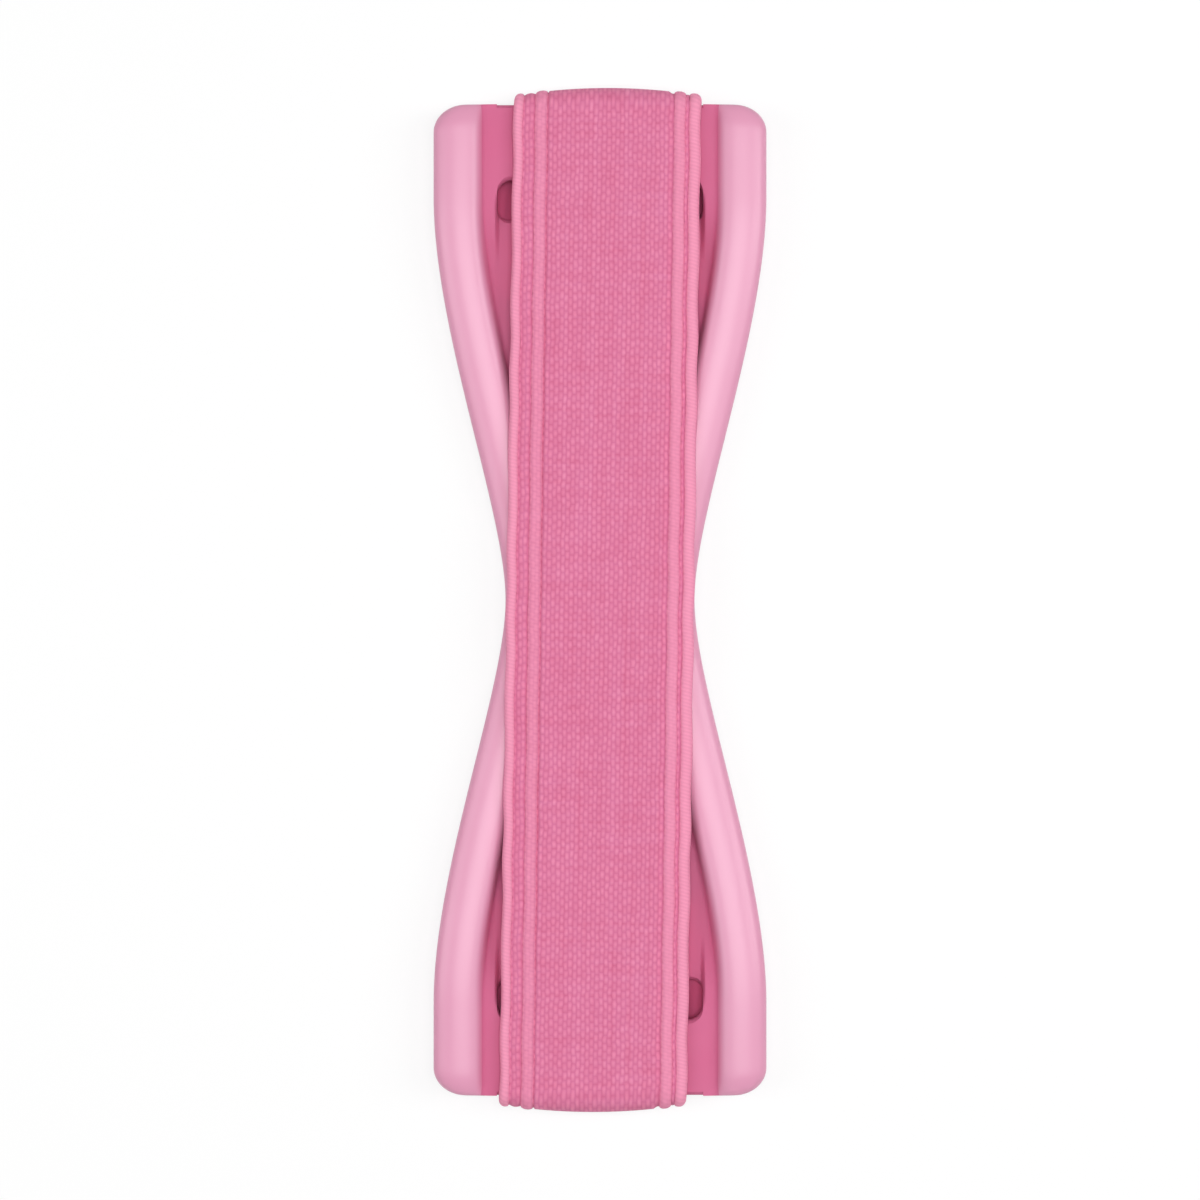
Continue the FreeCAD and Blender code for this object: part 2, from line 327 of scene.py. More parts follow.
@dataclass(frozen=True)
class WovenElastic:
    """Polyester-covered rubber tape, woven: dull and slightly fuzzy, with darker gaps between its yarns.

    The yarns of real tape are too fine to show in the render, so they are drawn coarser.
    """

    name: str = "woven_polyester_elastic"
    yarn_light: str = "#E788AA"
    yarn_dark: str = "#DF7FA2"
    gap: str = "#D16C93"
    cord_light: str = "#F29AB8"
    cord_dark: str = "#EA92B0"
    sheen: str = "#FFD6E4"
    deep_dye: Colour = (0.95, 0.85, 0.87, 1.0)
    pale_dye: Colour = (1.02, 1.12, 1.1, 1.0)
    dye_range: tuple[float, float] = (1.0, 2.0)
    column_mm: float = 0.38
    float_mm: float = 0.72
    stagger: float = 0.5
    stagger_play: float = 0.3
    wander_mm: float = 10 / 7
    wander_reach_mm: float = 0.3
    yarn_edge: float = 0.1
    yarn_arch: tuple[tuple[float, float], ...] = ((0.5, 1.0), (0.22, 0.7), (0.78, 0.7))
    yarn_depth_mm: float = 0.045
    streak_mm: float = 0.5
    streak_length_mm: float = 25.0
    row_mm: float = 0.36
    row_length_mm: float = 25 / 3
    mottle_mm: float = 1.6
    wrap_mm: float = 0.3
    wrap_depth: float = 0.4
    wrap_degrees: float = 75.0
    fibre_mm: float = 0.07
    fuzz: float = 0.35

    def material(self) -> Material:
        """Builds the material: rows of short floats over the body, wound yarn on the selvedge cords.

        Returns:
            The finished material.
        """
        material, node = new_material(self.name)
        cloth = node("UVMap", uv_map=CLOTH)
        in_mm = node("Mapping", {"Vector": cloth, "Scale": (1 / MM, 1 / MM, 1 / MM)})

        # Threads wander a little from their straight places
        wander = node("TexNoise", {"Vector": in_mm, "Scale": 1 / self.wander_mm, "Detail": 2.0})
        reach = {0: wander.outputs["Color"], "Scale": self.wander_reach_mm}
        lean = node("VectorMath", reach, operation="SCALE")
        threads = node("VectorMath", {0: in_mm, 1: lean}, operation="ADD")
        thread = node("SeparateXYZ", {"Vector": threads}).outputs

        # Columns of floats, every other one half a float behind, and each late by chance
        column = node("Math", {0: thread["X"], 1: 1 / self.column_mm}, operation="MULTIPLY")
        column_number = node("Math", {0: column}, operation="FLOOR")
        in_column = node("Math", {0: column}, operation="FRACT")
        lag = node("TexWhiteNoise", {"W": column_number}, noise_dimensions="1D")
        count = node("Math", {0: thread["Y"], 1: 1 / self.float_mm}, operation="MULTIPLY")
        late = node("Math", {0: lag, 1: self.stagger_play, 2: count}, operation="MULTIPLY_ADD")
        staggered = node("Math", {0: column_number, 1: self.stagger, 2: late}, operation="MULTIPLY_ADD")
        float_number = node("Math", {0: staggered}, operation="FLOOR")
        in_float = node("Math", {0: staggered}, operation="FRACT")

        # Each float arches up both across and along
        over_column = node("FloatCurve", {"Value": in_column})
        over_float = node("FloatCurve", {"Value": in_float})
        for profile in (over_column, over_float):
            points = profile.mapping.curves[0].points
            points[0].location = (0.0, self.yarn_edge)
            points[1].location = (1.0, self.yarn_edge)
            for place, rise in self.yarn_arch:
                points.new(place, rise)
            profile.mapping.update()
        crown = node("Math", {0: over_column, 1: over_float}, operation="MULTIPLY")

        # No two yarns take the dye quite alike
        which = node("CombineXYZ", {"X": column_number, "Y": float_number})
        chance = node("TexWhiteNoise", {"Vector": which}, noise_dimensions="2D")
        yarns = {6: linear(self.yarn_dark), 7: linear(self.yarn_light)}
        yarn = node("Mix", {"Factor": chance, **yarns}, data_type="RGBA")
        weave = node("Mix", {"Factor": crown, 6: linear(self.gap), 7: yarn}, data_type="RGBA")

        # Streaks along the tape, rows across it and soft patches
        lines = []
        for wide, long in ((self.streak_mm, self.streak_length_mm), (self.row_length_mm, self.row_mm)):
            drawn_out = node("Mapping", {"Vector": in_mm, "Scale": (1 / wide, 1 / long, 1.0)})
            lines.append(node("TexNoise", {"Vector": drawn_out, "Scale": 1.0, "Detail": 1.0}))
        soft = 1 / self.mottle_mm
        mottle = node("TexNoise", {"Vector": in_mm, "Scale": soft, "Detail": 3.0, "Roughness": 0.6})
        crossed = node("Math", {0: lines[0], 1: lines[1]}, operation="ADD")
        uneven = node("Math", {0: crossed, 1: mottle}, operation="ADD")
        low, high = self.dye_range
        shade = node("MapRange", {"Value": uneven, "From Min": low, "From Max": high})
        dye = node("Mix", {"Factor": shade, 6: self.deep_dye, 7: self.pale_dye}, data_type="RGBA")
        body = node("VectorMath", {0: weave, 1: dye}, operation="MULTIPLY")

        # Yarn wound slantwise round the cords, where a wave repeats every pi / (10 * scale)
        cord = node("Attribute", attribute_name=CORD).outputs["Fac"]
        turn = (0.0, 0.0, math.radians(self.wrap_degrees))
        slant = node("Mapping", {"Vector": in_mm, "Rotation": turn})
        wraps = node(
            "TexWave",
            {
                "Vector": slant,
                "Scale": math.pi / (10 * self.wrap_mm),
                "Distortion": 0.8,
                "Detail": 1.0,
                "Detail Scale": 0.6,
            },
            wave_type="BANDS",
            bands_direction="X",
            wave_profile="SIN",
        ).outputs["Fac"]
        winding = {6: linear(self.cord_dark), 7: linear(self.cord_light)}
        wound = node("Mix", {"Factor": wraps, **winding}, data_type="RGBA")
        colour = node("Mix", {"Factor": cord, 6: body, 7: wound}, data_type="RGBA")

        # Relief of yarns, windings and loose fibres
        wrap_height = node("Math", {0: wraps, 1: self.wrap_depth}, operation="MULTIPLY")
        height = node("Mix", {"Factor": cord, 2: crown, 3: wrap_height}, data_type="FLOAT")
        fibres = node("TexNoise", {"Vector": threads, "Scale": 1 / self.fibre_mm, "Detail": 2.0})
        fuzzy = node("Math", {0: fibres, 1: self.fuzz, 2: height}, operation="MULTIPLY_ADD")
        bump = node("Bump", {"Strength": 0.8, "Distance": self.yarn_depth_mm * MM, "Height": fuzzy})
        surface = node(
            "BsdfPrincipled",
            {
                "Base Color": colour,
                "Roughness": 0.86,
                "Specular IOR Level": 0.15,
                "Sheen Weight": 0.18,
                "Sheen Roughness": 0.55,
                "Sheen Tint": linear(self.sheen),
                "Normal": bump,
            },
        )
        node("OutputMaterial", {"Surface": surface})
        return material


@dataclass(frozen=True)
class FoamTape:
    """Acrylic-coated polyethylene foam, die cut: a dull porous edge between two slightly glossy films."""

    name: str = "acrylic_foam_tape"
    foam: str = "#8D8C8F"
    pore: str = "#6E6D70"
    film: str = "#A3A2A5"
    foam_roughness: float = 0.9
    film_roughness: tuple[float, float] = (0.28, 0.45)
    film_mm: float = 0.07
    pad_mm: float = 0.6
    pore_mm: float = 0.16
    tack_mm: float = 1.4
    relief_mm: float = 0.03

    def material(self) -> Material:
        """Builds the material: foam cells on the cut edge, smooth adhesive film on both faces.

        Returns:
            The finished material.
        """
        material, node = new_material(self.name)
        where = node("TexCoord").outputs["Object"]
        cells = node("TexVoronoi", {"Vector": where, "Scale": 1 / (self.pore_mm * MM)})
        tack = node("TexNoise", {"Vector": where, "Scale": 1 / (self.tack_mm * MM), "Detail": 3.0})
        height = node("SeparateXYZ", {"Vector": where}).outputs["Z"]
        from_middle = node("Math", {0: height, 1: self.pad_mm * MM / 2}, operation="SUBTRACT")
        off_middle = node("Math", {0: from_middle}, operation="ABSOLUTE")
        film_start = (self.pad_mm / 2 - self.film_mm) * MM
        filmed = node("Math", {0: off_middle, 1: film_start}, operation="GREATER_THAN")
        foams = {6: linear(self.pore), 7: linear(self.foam)}
        foam = node("Mix", {"Factor": cells, **foams}, data_type="RGBA")
        colour = node("Mix", {"Factor": filmed, 6: foam, 7: linear(self.film)}, data_type="RGBA")
        low, high = self.film_roughness
        spans = {"From Min": 0.3, "From Max": 0.7, "To Min": low, "To Max": high}
        film_gloss = node("MapRange", {"Value": tack, **spans})
        gloss = node("Mix", {"Factor": filmed, 2: self.foam_roughness, 3: film_gloss}, data_type="FLOAT")
        relief = node("Mix", {"Factor": filmed, 2: cells, 3: tack}, data_type="FLOAT")
        bump = node("Bump", {"Strength": 0.5, "Distance": self.relief_mm * MM, "Height": relief})
        looks = {"Base Color": colour, "Roughness": gloss, "IOR": 1.48, "Normal": bump}
        surface = node("BsdfPrincipled", looks)
        node("OutputMaterial", {"Surface": surface})
        return material


@dataclass(frozen=True)
class StudioPaper:
    """Matt white background paper: even white, with only the object's soft shadow on it."""

    name: str = "background_paper"
    tone: str = "#F8F8F8"
    even_share: float = 0.8
    shadow_reach_mm: float = 130.0
    white_from_mm: float = 320.0

    def material(self) -> Material:
        """Builds the material: its own even white where it is seen, with the shadow kept near the object.

        Returns:
            The finished material.
        """
        material, node = new_material(self.name)
        away = node("VectorMath", {0: node("TexCoord").outputs["Object"]}, operation="LENGTH")
        even_here = node(
            "MapRange",
            {
                "Value": away,
                "From Min": self.shadow_reach_mm * MM,
                "From Max": self.white_from_mm * MM,
                "To Min": self.even_share,
                "To Max": 1.0,
            },
        )
        share = node("Math", {0: looked_at(node), 1: even_here}, operation="MULTIPLY")
        paper = node("BsdfDiffuse", {"Color": linear(self.tone)})
        even = node("Emission", {"Color": WHITE, "Strength": 1.0})
        surface = node("MixShader", {0: share, 1: paper, 2: even})
        node("OutputMaterial", {"Surface": surface})
        return material


@dataclass(frozen=True)
class Station:
    """One cross-section of the plate: its place along Y and the sizes that it is drawn from."""

    y: float
    half_width: float
    rail_half_width: float
    crest: float


@dataclass(frozen=True)
class PlateGrid:
    """How finely the plate is drawn: points on each stretch of its sides, its sections and its slots."""

    flank: int = 56
    straight_side: int = 12
    nose: int = 14
    back: int = 8
    toe: int = 4
    outer_wall: int = 3
    crown: int = 34
    rim: int = 10
    inner_wall: int = 3
    foot: int = 6
    ledge: int = 3
    bed_wall: int = 10
    bed: int = 10
    slot_corner: int = 8
    slot_height: int = 20
    bar_tip: int = 14

    @property
    def floor(self) -> int:
        """Points on half of the channel floor, from the foot of a rail to the middle."""
        return self.ledge + self.bed_wall + self.bed + 1


@dataclass
class RailPlate:
    """The moulded plate: waisted in plan, with a rail along each side and a slot and a bar at each end."""

    # Plan
    length: float = 84.6
    end_width: float = 28.4
    waist_width: float = 16.2
    side_run: float = 8.0
    waist_pull: float = 7.5
    shoulder_pull: float = 11.4
    corner_radius: float = 2.1
    end_fall: float = 0.35
    # Heights
    bottom: float = 0.6
    web_top: float = 0.95
    floor_top: float = 2.0
    crest_at_waist: float = 2.85
    crest_at_end: float = 4.05
    nose_drop: float = 0.8
    # Rails
    rail_width: float = 3.8
    edge_drop: float = 1.1
    edge_lift: float = 0.068
    inner_drop: float = 0.25
    inner_lift: float = 0.25
    inner_run: float = 1.4
    wall_run: float = 0.5
    rim_run: float = 0.62
    foot_run: float = 0.3
    toe_radius: float = 0.25
    # End bars, slots and the bed under the strap
    bar_bottom: float = 1.95
    bar_top: float = 2.95
    bar_tip: float = 42.25
    bar_length: float = 6.4
    bar_bulge: float = 0.33
    bar_corner: float = 1.35
    slot_length: float = 3.3
    slot_width: float = 17.6
    lip_corner: float = 1.0
    lip_bulge: float = 0.34
    bed_wall: float = 0.45
    bed_step: float = 0.5
    least_ledge: float = 0.01
    ramp_start: float = 27.85
    ramp_end: float = 34.85
    # Cutters, which reach past what they cut
    cut_beyond: float = 4.0
    cut_above: float = 2.0
    slot_above: float = 0.5
    under_bar: float = 0.4
    end_skin: float = 0.01
    # Polish, and with it the painted sheen, which fades out between two columns before the floor
    fade_start: int = 16
    fade_end: int = 3
    end_zone: float = 1.0
    facing: float = 0.9
    near: float = 0.02
    sharp_degrees: float = 38.0
    grid: PlateGrid = PlateGrid()
    finish: MouldedPlastic = MouldedPlastic()

    @property
    def shoulder(self) -> float:
        """Y at which the flank meets the straight side."""
        return self.length / 2 - self.side_run

    @property
    def bar_inner_tip(self) -> float:
        """Y of the bar's inner tip, at the head end."""
        return self.bar_tip - self.bar_length

    def flank(self, share: float, inset: float = 0.0) -> tuple[float, float]:
        """Point on the flank, the curved side between the waist and the shoulder.

        Args:
            share: How far along it is, from the waist to the shoulder.
            inset: How far inside the plate's outline it lies.

        Returns:
            Half width and Y.
        """
        narrow = self.waist_width / 2 - inset
        wide = self.end_width / 2 - inset
        turn_out = self.shoulder - self.shoulder_pull
        poles = [(narrow, 0.0), (narrow, self.waist_pull), (wide, turn_out), (wide, self.shoulder)]
        return bezier(poles, share)

    def quarter_stations(self) -> list[Station]:
        """Lists the stations from just beyond the waist to the head end.

        Returns:
            Stations in order of Y.
        """
        wide = self.end_width / 2
        rise = self.crest_at_end - self.crest_at_waist
        corner = self.length / 2 - self.corner_radius
        stations = []
        for i in range(1, self.grid.flank + 1):
            share = i / self.grid.flank
            half_width, y = self.flank(share)
            # The crest stays low along the waist and climbs late
            crest = self.crest_at_waist + rise * share**4 * (5 - 4 * share)
            stations.append(Station(y, half_width, half_width, crest))
        for y in spread(self.shoulder, corner, self.grid.straight_side)[1:]:
            stations.append(Station(y, wide, wide, self.crest_at_end))
        for turn in [*spread(0, QUARTER_TURN, self.grid.nose), QUARTER_TURN]:
            drawn_in = 1 - math.cos(turn)
            y = corner + self.corner_radius * math.sin(turn)
            half_width = wide - self.corner_radius * drawn_in
            stations.append(Station(y, half_width, wide, self.crest_at_end - self.nose_drop * drawn_in))
        return stations

    def ramp_height(self, y: float) -> float:
        """Height of the channel floor beside a slot, where it climbs to the end bar."""
        return self.floor_top + (self.bar_top - self.floor_top) * ease(abs(y), self.ramp_start, self.ramp_end)

    def bed_height(self, y: float) -> float:
        """Height of the floor under the strap: level up to the slot, and the bar's top beyond it."""
        step = ease(abs(y) - self.bar_inner_tip + self.slot_length / 2, -self.bed_step, self.bed_step)
        return self.floor_top + (self.bar_top - self.floor_top) * step

    def half_section(self, station: Station) -> list[tuple[float, float]]:
        """Draws one half of a cross-section, from the middle of the back round to the middle of the floor.

        Args:
            station: The station to draw.

        Returns:
            Points as X and Z.
        """
        floor = self.ramp_height(station.y)
        bed = self.bed_height(station.y)
        outer = station.half_width
        toe = self.toe_radius
        inner_edge = station.rail_half_width - self.rail_width
        pole = station.crest + self.edge_lift * self.edge_drop + self.inner_lift * self.inner_drop
        side_top = (outer, station.crest - self.edge_drop)
        over = Vector((inner_edge + self.inner_run, pole))
        corner = Vector((inner_edge, station.crest - self.inner_drop))
        foot = Vector((inner_edge - self.wall_run, floor))
        down = (foot - corner).normalized()
        rim_start = corner + (over - corner).normalized() * self.rim_run
        rim_end = corner + down * self.rim_run
        foot_start = foot - down * self.foot_run
        foot_end = foot - Vector((self.foot_run, 0))
        points = [(x, self.bottom) for x in spread(0, outer - toe, self.grid.back)]
        for turn in spread(0, QUARTER_TURN, self.grid.toe):
            points.append((outer - toe + toe * math.sin(turn), self.bottom + toe - toe * math.cos(turn)))
        points += [(outer, z) for z in spread(self.bottom + toe, side_top[1], self.grid.outer_wall)]
        for count, poles in (
            (self.grid.crown, [side_top, (outer, pole), over, rim_start]),
            (self.grid.rim, [rim_start, corner, rim_end]),
            (self.grid.inner_wall, [rim_end, foot_start]),
            (self.grid.foot, [foot_start, foot, foot_end]),
        ):
            points += [bezier(poles, share) for share in spread(0, 1, count)]
        wall_top = min(foot_end.x - self.least_ledge, self.slot_width / 2 + self.bed_wall / 2)
        points += [(x, floor) for x in spread(foot_end.x, wall_top, self.grid.ledge)]
        for share in spread(0, 1, self.grid.bed_wall):
            points.append((wall_top - self.bed_wall * share, floor + (bed - floor) * ease(share, 0, 1)))
        points += [(x, bed) for x in spread(wall_top - self.bed_wall, 0, self.grid.bed)]
        return [*points, (0.0, bed)]

    def section(self, station: Station) -> list[Vector]:
        """Closes a cross-section and sets it in place, the plate's ends falling back towards their corners.

        Args:
            station: The station to draw.

        Returns:
            Points in metres, the first repeated as the last.
        """
        half = self.half_section(station)
        near_end = ease(abs(station.y), self.shoulder, self.length / 2)
        fall = math.copysign(self.end_fall * near_end, station.y)
        straight = self.slot_width / 2
        beside = self.end_width / 2 - straight
        points = []
        for x, z in half + [(-x, z) for x, z in reversed(half[:-1])]:
            outward = max(0.0, abs(x) - straight) / beside
            points.append(Vector((x, station.y - fall * outward**2, z)) * MM)
        return points

    def body(self) -> BMesh:
        """Builds the plate without its slots.

        Returns:
            A closed mesh.
        """
        narrow = self.waist_width / 2
        waist = Station(0.0, narrow, narrow, self.crest_at_waist)
        ahead = self.quarter_stations()
        behind = [replace(station, y=-station.y) for station in reversed(ahead)]
        middle = len(self.half_section(waist)) - 1
        floor_start = middle + 1 - self.grid.floor

        def mark(mesh: BMesh, places: list[tuple[int, int]]) -> None:
            """Marks the rails, which are polished and take a painted sheen, and fades both out down their
            inner walls.

            Args:
                mesh: The grid.
                places: Column and row of each vertex.
            """
            polish = mesh.verts.layers.float.new(POLISH_AND_PAINTED_LIGHT)
            for vert in mesh.verts:
                column = places[vert.index][0]
                inward = min(column, 2 * middle - column)
                vert[polish] = 1 - ease(inward, floor_start - self.fade_start, floor_start - self.fade_end)

        return skin([self.section(station) for station in [*behind, waist, *ahead]], mark)

    def slot_reach(self, z: float) -> tuple[float, float]:
        """Finds where the slot starts and stops, between the round edges of the floor's lip and the bar.

        Args:
            z: Height at which to look.

        Returns:
            Lowest and highest Y at the head end.
        """
        lip_edge = self.bar_inner_tip - self.slot_length
        lip_share = (2 * z - self.web_top - self.floor_top) / (self.floor_top - self.web_top)
        bar_share = (2 * z - self.bar_bottom - self.bar_top) / (self.bar_top - self.bar_bottom)
        low = lip_edge - self.lip_bulge * min(1.0, lip_share**2)
        high = self.bar_inner_tip + self.bar_bulge * min(1.0, bar_share**2)
        return low, high

    def slot_outline(self, z: float, end: End) -> list[Vector]:
        """Draws the slot's round-cornered outline at one height.

        Args:
            z: Height of the outline.
            end: The end that the slot is at.

        Returns:
            Points in metres, the first repeated as the last.
        """
        low, high = self.slot_reach(z)
        by_bar = self.slot_width / 2 - self.bar_corner
        by_lip = self.slot_width / 2 - self.lip_corner
        corners = [
            (by_bar, high - self.bar_corner, self.bar_corner),
            (-by_bar, high - self.bar_corner, self.bar_corner),
            (-by_lip, low + self.lip_corner, self.lip_corner),
            (by_lip, low + self.lip_corner, self.lip_corner),
        ]
        points = []
        for i, (x, y, radius) in enumerate(corners):
            stop = (i + 1) * QUARTER_TURN
            for turn in [*spread(i * QUARTER_TURN, stop, self.grid.slot_corner), stop]:
                along = (y + radius * math.sin(turn)) * end.value
                points.append(Vector((x + radius * math.cos(turn), along, z)) * MM)
        return points + points[:1]

    def slot(self, end: End) -> Object:
        """Builds the cutter for the slot at one end.

        Args:
            end: The end that it cuts.

        Returns:
            The cutter as an object.
        """
        heights = spread(self.web_top, self.bar_top, self.grid.slot_height)
        heights += [self.bar_top, self.bar_top + self.slot_above]
        mesh = skin([self.slot_outline(z, end) for z in heights])
        return new_piece(f"slot_{end.name.lower()}", mesh)

    def strap_way(self, end: End) -> Object:
        """Builds the cutter for the space under the bar and round its outer edge.

        Args:
            end: The end that it cuts.

        Returns:
            The cutter as an object.
        """
        start = self.bar_inner_tip - self.under_bar
        beyond = self.length / 2 + self.cut_beyond
        above = self.bar_top + self.cut_above
        middle = (self.bar_bottom + self.bar_top) / 2
        half_bar = (self.bar_top - self.bar_bottom) / 2
        tip = self.length / 2 - self.end_skin
        profile = [(start, self.web_top), (beyond, self.web_top), (beyond, above)]
        profile.append((tip - self.bar_bulge, above))
        for share in spread(1.0, -1.0, self.grid.bar_tip):
            profile.append((tip - self.bar_bulge * share * share, middle + half_bar * share))
        profile += [(tip - self.bar_bulge, self.bar_bottom), (start, self.bar_bottom)]
        mesh = bmesh.new()
        left = -self.slot_width / 2
        ring = [mesh.verts.new(Vector((left, y * end.value, z)) * MM) for y, z in profile]
        grown = bmesh.ops.extrude_face_region(mesh, geom=[mesh.faces.new(ring)])["geom"]
        moved = [item for item in grown if isinstance(item, BMVert)]
        bmesh.ops.translate(mesh, verts=moved, vec=Vector((self.slot_width * MM, 0, 0)))
        bmesh.ops.recalc_face_normals(mesh, faces=mesh.faces)
        return new_piece(f"strap_way_{end.name.lower()}", mesh)

    def part_polish_and_painted_light(self, data: Mesh) -> None:
        """Parts matt from polished faces, and with them painted shade from painted sheen, and marks the web
        below the slots for its painted shade.

        Slots and bars are matt as the floor is and take its painted shade, and the end faces take the rails'
        polish and painted sheen.

        Args:
            data: The plate's mesh, with its slots cut.
        """
        half = self.slot_width / 2
        marks = data.attributes[POLISH_AND_PAINTED_LIGHT]
        by_vertex = [mark.value for mark in marks.data]
        data.attributes.remove(marks)
        by_corner = data.attributes.new(POLISH_AND_PAINTED_LIGHT, "FLOAT", "CORNER").data
        for face in data.polygons:
            x, y, z = (abs(value) / MM for value in face.center)
            at_end = y > self.length / 2 - self.end_zone and (x > half or z < self.web_top)
            end_face = at_end and abs(face.normal.y) > self.facing
            # The web's floor inside each slot is marked for its painted shade
            takes_slot_shade = face.normal.z > self.facing and z < self.web_top + self.near
            for corner in face.loop_indices:
                vert = data.vertices[data.loops[corner].vertex_index]
                # Matt faces take the channel's painted shade, polished ones the rails' painted sheen
                matt = abs(vert.co.x) < (half + self.near) * MM and abs(vert.co.y) > self.ramp_start * MM
                polish = 0.0 if matt else by_vertex[vert.index]
                by_corner[corner].value = 1.0 if end_face else PAINTED_SLOT_SHADE if takes_slot_shade else polish

    def build(self) -> Object:
        """Builds the whole plate and dresses it.

        Returns:
            The plate's object, which stands for its CAD node.
        """
        blank = new_piece("plate_blank", self.body())
        cutters = [cutter(end) for end in End for cutter in (self.slot, self.strap_way)]
        for cutter in cutters:
            cut = blank.modifiers.new(cutter.name, "BOOLEAN")
            cut.operation = "DIFFERENCE"
            cut.solver = "EXACT"
            cut.object = cutter
        shaped = blank.evaluated_get(bpy.context.evaluated_depsgraph_get())
        data = bpy.data.meshes.new_from_object(shaped)
        data.name = "moulded_plate"
        plate = bpy.data.objects.new("moulded_plate", data)
        bpy.context.scene.collection.objects.link(plate)
        for scrap in [blank, *cutters]:
            bpy.data.objects.remove(scrap)
        self.part_polish_and_painted_light(data)
        soften(plate, self.sharp_degrees)
        plate.modifiers.new("flat_faces_lead", "WEIGHTED_NORMAL").keep_sharp = True
        plate.data.materials.clear()
        plate.data.materials.append(self.finish.material())
        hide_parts("base_plate")
        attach(plate, "root")
        return plate


@dataclass(frozen=True)
class TapePoint:
    """A place on the tape's middle line: distance from its middle, Y, Z, and the way its outer face looks."""

    distance: float
    y: float
    z: float
    out_y: float
    out_z: float


@dataclass(frozen=True)
class Cord:
    """A cord woven into the tape's edge: the gap before it, its width, and how far its own yarn covers it."""

    gap: float
    width: float
    cover: float


@dataclass(frozen=True)
class TapeGrid:
    """How finely the tape is drawn: points on each stretch of half its route and half its section."""

    bar_outside: int = 26
    under_bar: int = 12
    bar_inside: int = 6
    through_slot: int = 8
    over_lip: int = 8
    tail: int = 16
    body: int = 18
    gap: int = 6
    cord: int = 16
    under_edge: int = 4
    underside: int = 16


